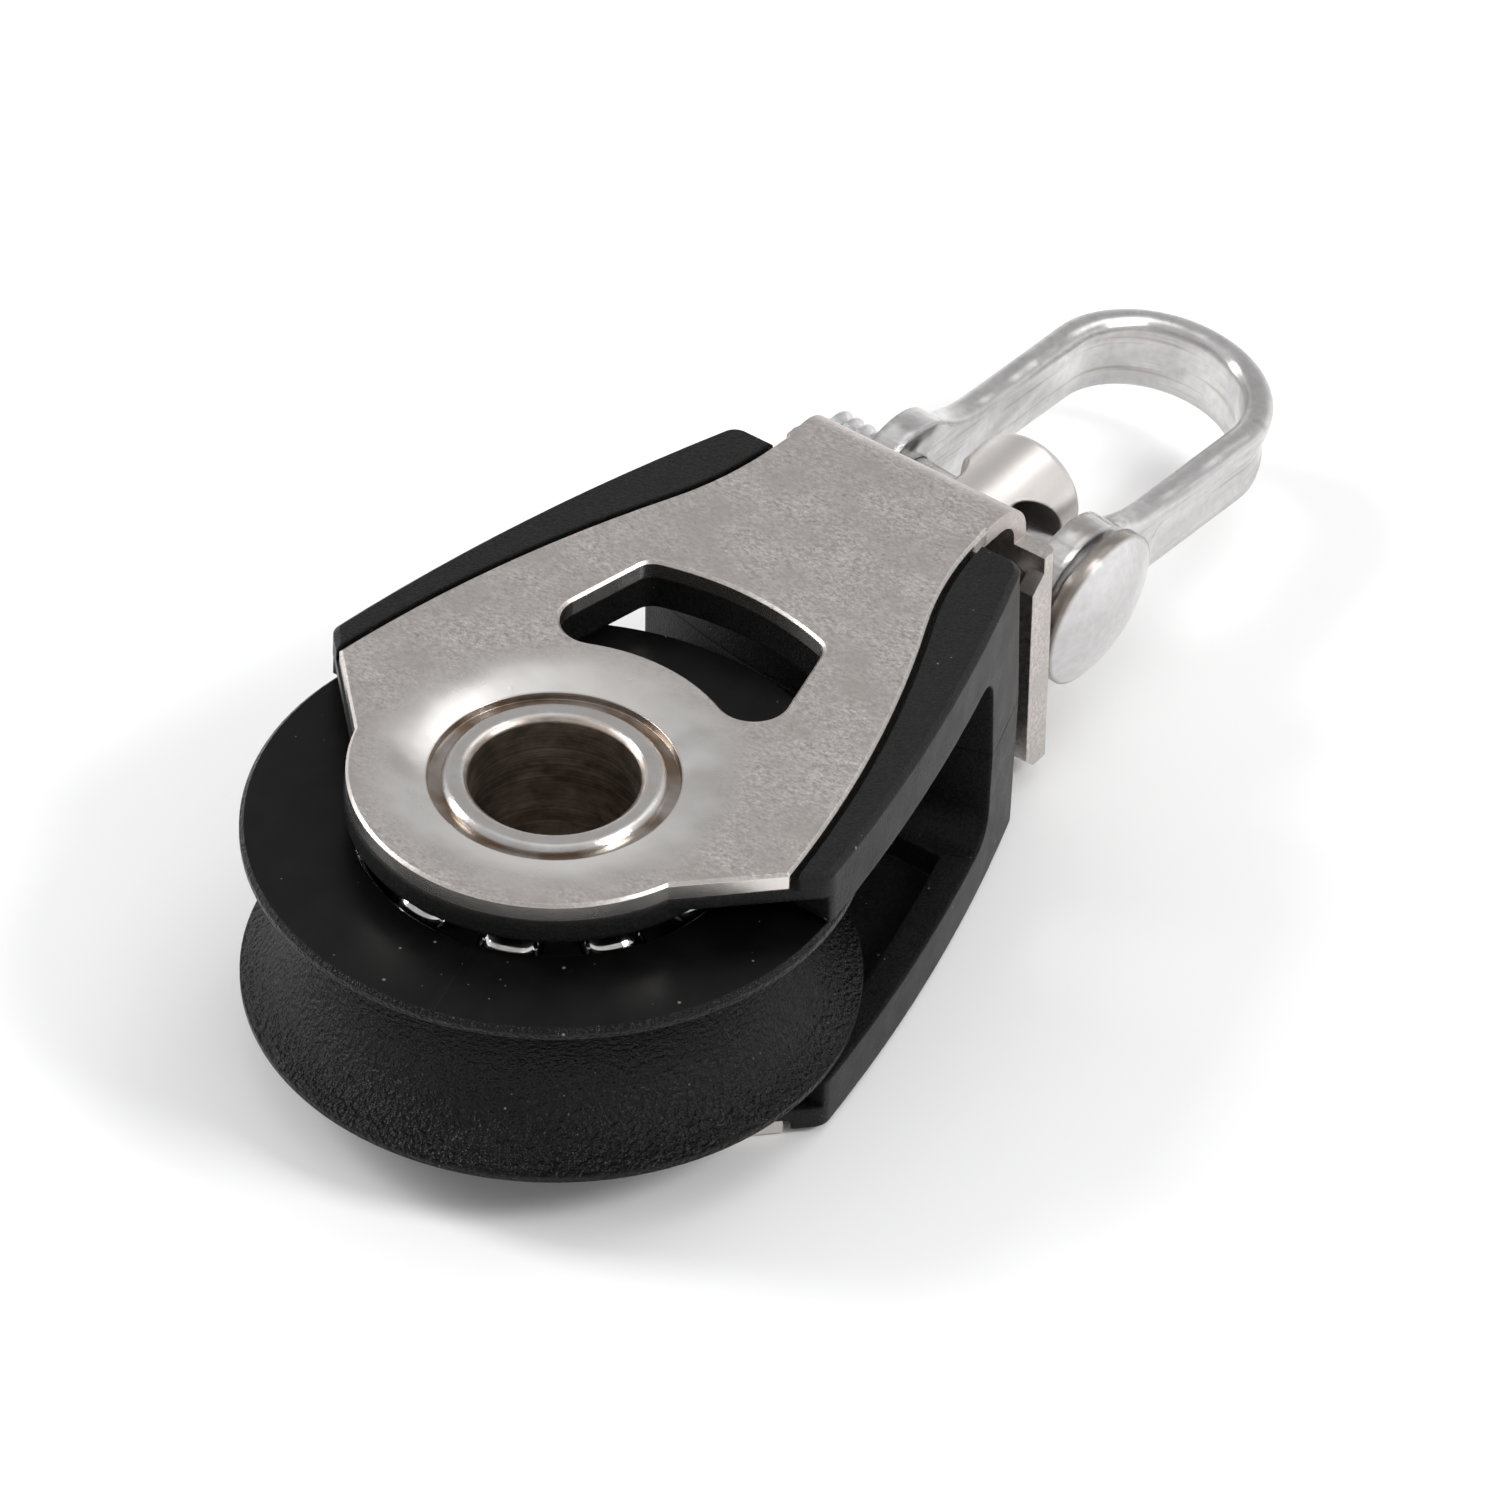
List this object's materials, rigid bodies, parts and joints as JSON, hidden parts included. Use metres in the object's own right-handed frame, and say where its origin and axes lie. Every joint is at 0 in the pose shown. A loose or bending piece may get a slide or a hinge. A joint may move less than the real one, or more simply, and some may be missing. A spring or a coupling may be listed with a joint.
{
  "type": "single sheave block",
  "caption": "Pulley block for small rope: grooved ball-bearing wheel between moulded cheeks and steel straps, with a swivelling post and a screw-pin shackle.",
  "frame": {"origin": "centre of the hollow axle, at the middle of the sheave's width", "axes": "+X from the axle towards the swivel and shackle, +Z along the axle out of the strap with the head channel"},
  "size_m": [0.071, 0.03, 0.0166],
  "materials": {
    "strap_steel": "fine satin grain",
    "polished_steel": "tumbled polish",
    "turned_steel": "turned and polished",
    "bearing_steel": "mirror polish",
    "cheek_plastic": "glass-filled nylon, fine satin grain",
    "sheave_plastic": "acetal, turned satin",
    "cage_plastic": "smooth nylon"
  },
  "bodies": {
    "block": {"upper_strap": "strap_steel", "lower_strap": "strap_steel", "upper_cheek": "cheek_plastic", "lower_cheek": "cheek_plastic", "axle_tube": "turned_steel", "inner_race": "bearing_steel"},
    "sheave": {"sheave": "sheave_plastic"},
    "upper_row": {"upper_ball_cage": "cage_plastic", "upper_ball_01": "bearing_steel", "upper_ball_02": "bearing_steel", "upper_ball_03": "bearing_steel", "upper_ball_04": "bearing_steel", "upper_ball_05": "bearing_steel", "upper_ball_06": "bearing_steel", "upper_ball_07": "bearing_steel", "upper_ball_08": "bearing_steel", "upper_ball_09": "bearing_steel", "upper_ball_10": "bearing_steel"},
    "lower_row": {"lower_ball_cage": "cage_plastic", "lower_ball_01": "bearing_steel", "lower_ball_02": "bearing_steel", "lower_ball_03": "bearing_steel", "lower_ball_04": "bearing_steel", "lower_ball_05": "bearing_steel", "lower_ball_06": "bearing_steel", "lower_ball_07": "bearing_steel", "lower_ball_08": "bearing_steel", "lower_ball_09": "bearing_steel", "lower_ball_10": "bearing_steel"},
    "swivel": {"swivel_post": "turned_steel"},
    "shackle": {"shackle": "polished_steel"},
    "shackle_pin": {"shackle_pin": "polished_steel"}
  },
  "joints": [
    {"name": "sheave_spin", "type": "hinge", "parent": "block", "child": "sheave", "pos_m": [0, 0, 0], "axis": [0, 0, 1], "continuous": true},
    {"name": "upper_row_roll", "type": "hinge", "parent": "block", "child": "upper_row", "pos_m": [0, 0, 0], "axis": [0, 0, 1], "continuous": true},
    {"name": "lower_row_roll", "type": "hinge", "parent": "block", "child": "lower_row", "pos_m": [0, 0, 0], "axis": [0, 0, 1], "continuous": true},
    {"name": "swivel_turn", "type": "hinge", "parent": "block", "child": "swivel", "pos_m": [0.035, 0, 0], "axis": [1, 0, 0], "continuous": true},
    {"name": "shackle_swing", "type": "hinge", "parent": "swivel", "child": "shackle", "pos_m": [0.035, 0, -0.00058], "axis": [0, 0.9925, 0.1219], "range_deg": [-102, 88]},
    {"name": "pin_withdraw", "type": "slide", "parent": "shackle", "child": "shackle_pin", "axis": [0, -0.9925, -0.1219], "range_m": [0, 0.0165]}
  ],
  "couplings": [
    {"joint": "upper_row_roll", "follows": "sheave_spin", "ratio": 0.6018},
    {"joint": "lower_row_roll", "follows": "sheave_spin", "ratio": 0.6018}
  ]
}
